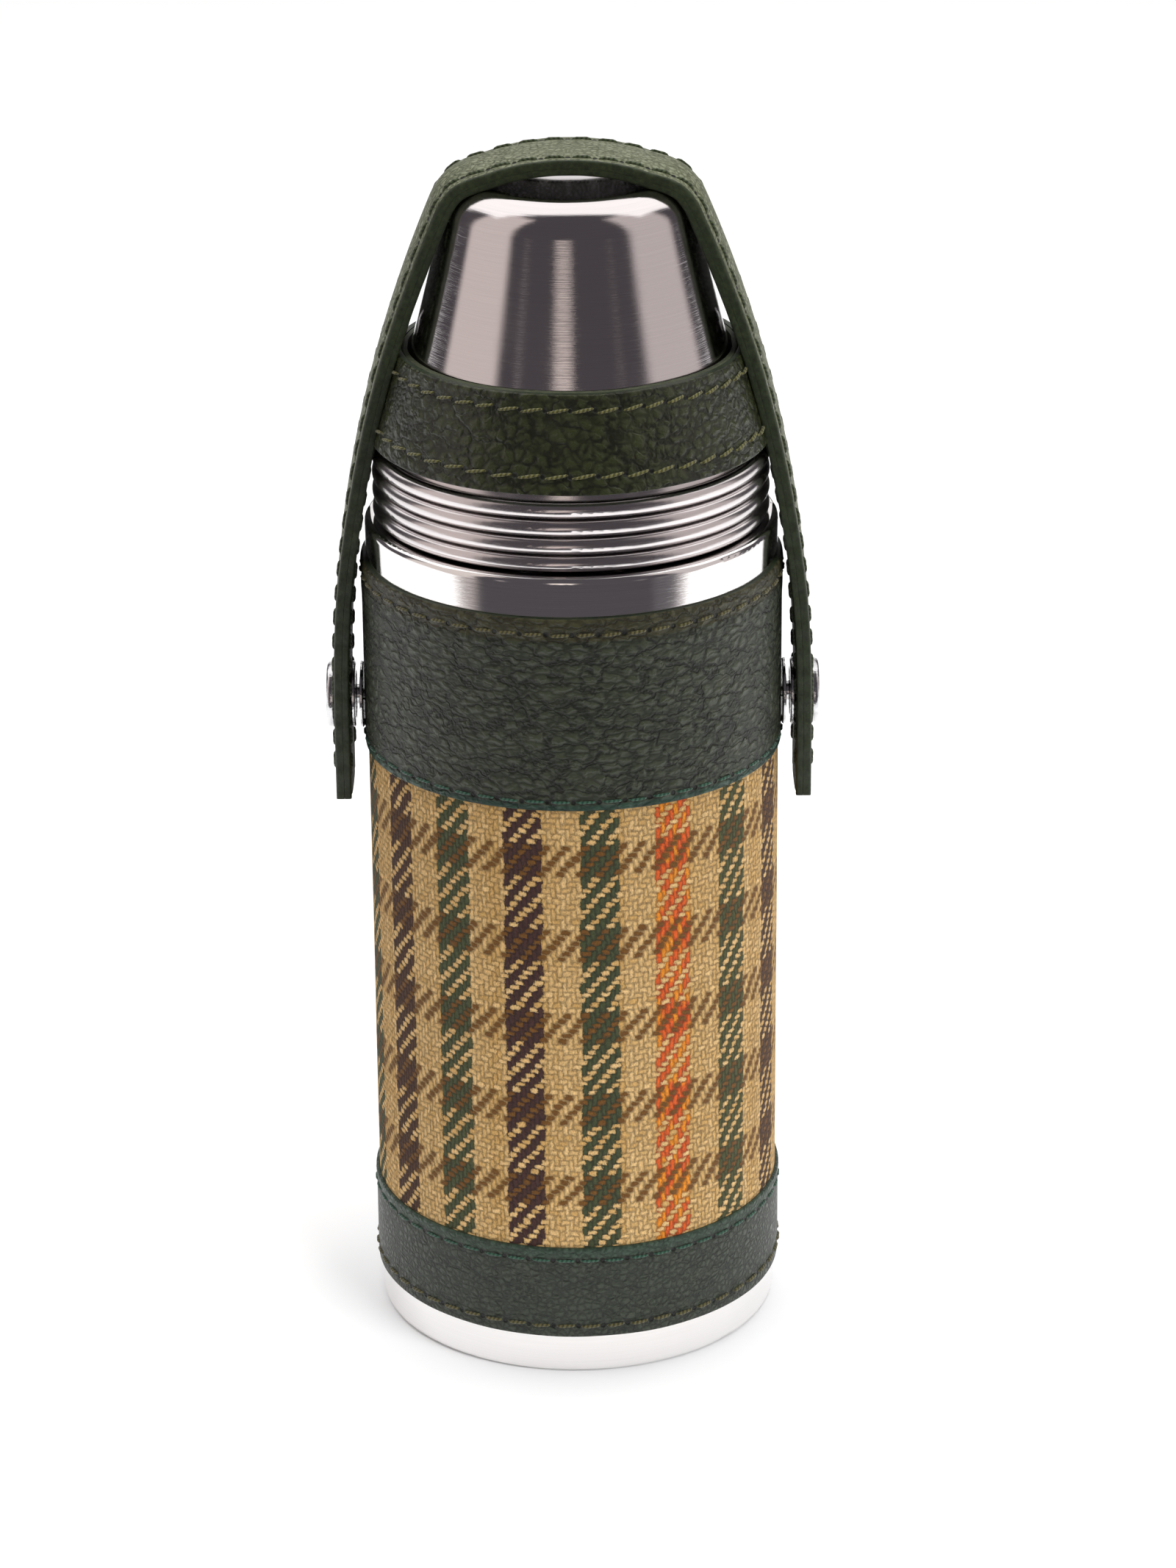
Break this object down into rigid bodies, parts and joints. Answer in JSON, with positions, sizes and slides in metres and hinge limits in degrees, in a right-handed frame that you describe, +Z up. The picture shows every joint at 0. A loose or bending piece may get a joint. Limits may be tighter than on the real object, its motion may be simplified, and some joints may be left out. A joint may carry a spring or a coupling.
{
  "type": "hip flask",
  "caption": "Round hunter's flask in a tweed and leather cover, with nesting steel cups over its screw cap and a strap harness that buttons at both sides.",
  "frame": {"origin": "middle of the flask's base, on the surface it stands on", "axes": "+Z up along the flask's axis; +X towards the right-hand press stud; the carry strap lies in the XZ plane; -Y faces the viewer"},
  "size_m": [0.078, 0.0662, 0.1934],
  "materials": {
    "steel_body": "polished",
    "steel_cup": "polished, faint turning marks",
    "cap_steel": "satin",
    "cap_plastic": "matte",
    "gasket_rubber": "matte silicone",
    "backing_leather": "raw split leather",
    "tweed": "woven wool with overcheck",
    "green_leather": "grained, semi-gloss",
    "strap_leather": "fine grain, satin",
    "strap_lining": "smooth, satin",
    "stud_metal": "bright nickel",
    "spring_steel": "bright wire"
  },
  "bodies": {
    "flask": {"flask_tube": "steel_body", "base_pan": "steel_body", "shoulder": "steel_body", "filler_neck": "steel_body", "cover_board": "backing_leather", "tweed_sleeve": "tweed", "upper_leather_band": "green_leather", "lower_leather_band": "green_leather", "left_snap_stud": "stud_metal", "right_snap_stud": "stud_metal", "left_snap_post": "stud_metal", "right_snap_post": "stud_metal"},
    "cap_seal": {"cap_gasket": "gasket_rubber"},
    "screw_cap": {"cap_shell": "cap_steel", "cap_thread_insert": "cap_plastic"},
    "inner_cup": {"cup_inner": "steel_cup"},
    "second_cup": {"cup_second": "steel_cup"},
    "third_cup": {"cup_third": "steel_cup"},
    "outer_cup": {"cup_outer": "steel_cup"},
    "harness": {"collar_outer": "green_leather", "collar_lining": "strap_lining", "strap_arch_outer": "strap_leather", "strap_arch_lining": "strap_lining", "harness_rivet_left": "stud_metal", "harness_rivet_right": "stud_metal"},
    "left_tail": {"left_tail_outer": "strap_leather", "left_tail_lining": "strap_lining", "left_snap_button": "stud_metal", "left_snap_socket": "stud_metal", "left_snap_spring": "spring_steel"},
    "right_tail": {"right_tail_outer": "strap_leather", "right_tail_lining": "strap_lining", "right_snap_button": "stud_metal", "right_snap_socket": "stud_metal", "right_snap_spring": "spring_steel"}
  },
  "joints": [
    {"name": "cap_lift", "type": "slide", "parent": "flask", "child": "cap_seal", "axis": [0, 0, 1], "range_m": [0, 0.006]},
    {"name": "cap_turn", "type": "hinge", "parent": "cap_seal", "child": "screw_cap", "pos_m": [0, 0, 0.15], "axis": [0, 0, 1], "range_deg": [0, 720]},
    {"name": "harness_lift", "type": "slide", "parent": "flask", "child": "harness", "axis": [0, 0, 1], "range_m": [0, 0.225]},
    {"name": "inner_cup_lift", "type": "slide", "parent": "flask", "child": "inner_cup", "axis": [0, 0, 1], "range_m": [0, 0.045]},
    {"name": "second_cup_lift", "type": "slide", "parent": "flask", "child": "second_cup", "axis": [0, 0, 1], "range_m": [0, 0.09]},
    {"name": "third_cup_lift", "type": "slide", "parent": "flask", "child": "third_cup", "axis": [0, 0, 1], "range_m": [0, 0.135]},
    {"name": "outer_cup_lift", "type": "slide", "parent": "flask", "child": "outer_cup", "axis": [0, 0, 1], "range_m": [0, 0.18]},
    {"name": "left_tail_swing", "type": "hinge", "parent": "harness", "child": "left_tail", "pos_m": [-0.0333, 0, 0.14735], "axis": [0, 1, 0], "range_deg": [0, 94], "deforming": ["left_snap_spring"]},
    {"name": "right_tail_swing", "type": "hinge", "parent": "harness", "child": "right_tail", "pos_m": [0.0333, 0, 0.14735], "axis": [0, -1, 0], "range_deg": [0, 94], "deforming": ["right_snap_spring"]}
  ],
  "couplings": [
    {"joint": "cap_lift", "follows": "cap_turn", "m_per_rad": 0.00047746},
    {"joint": "inner_cup_lift", "follows": "harness_lift", "ratio": 0.2},
    {"joint": "second_cup_lift", "follows": "harness_lift", "ratio": 0.4},
    {"joint": "third_cup_lift", "follows": "harness_lift", "ratio": 0.6},
    {"joint": "outer_cup_lift", "follows": "harness_lift", "ratio": 0.8},
    {"joint": "left_tail_swing", "follows": "harness_lift", "rad_per_m": 7.2915},
    {"joint": "right_tail_swing", "follows": "harness_lift", "rad_per_m": 7.2915}
  ]
}
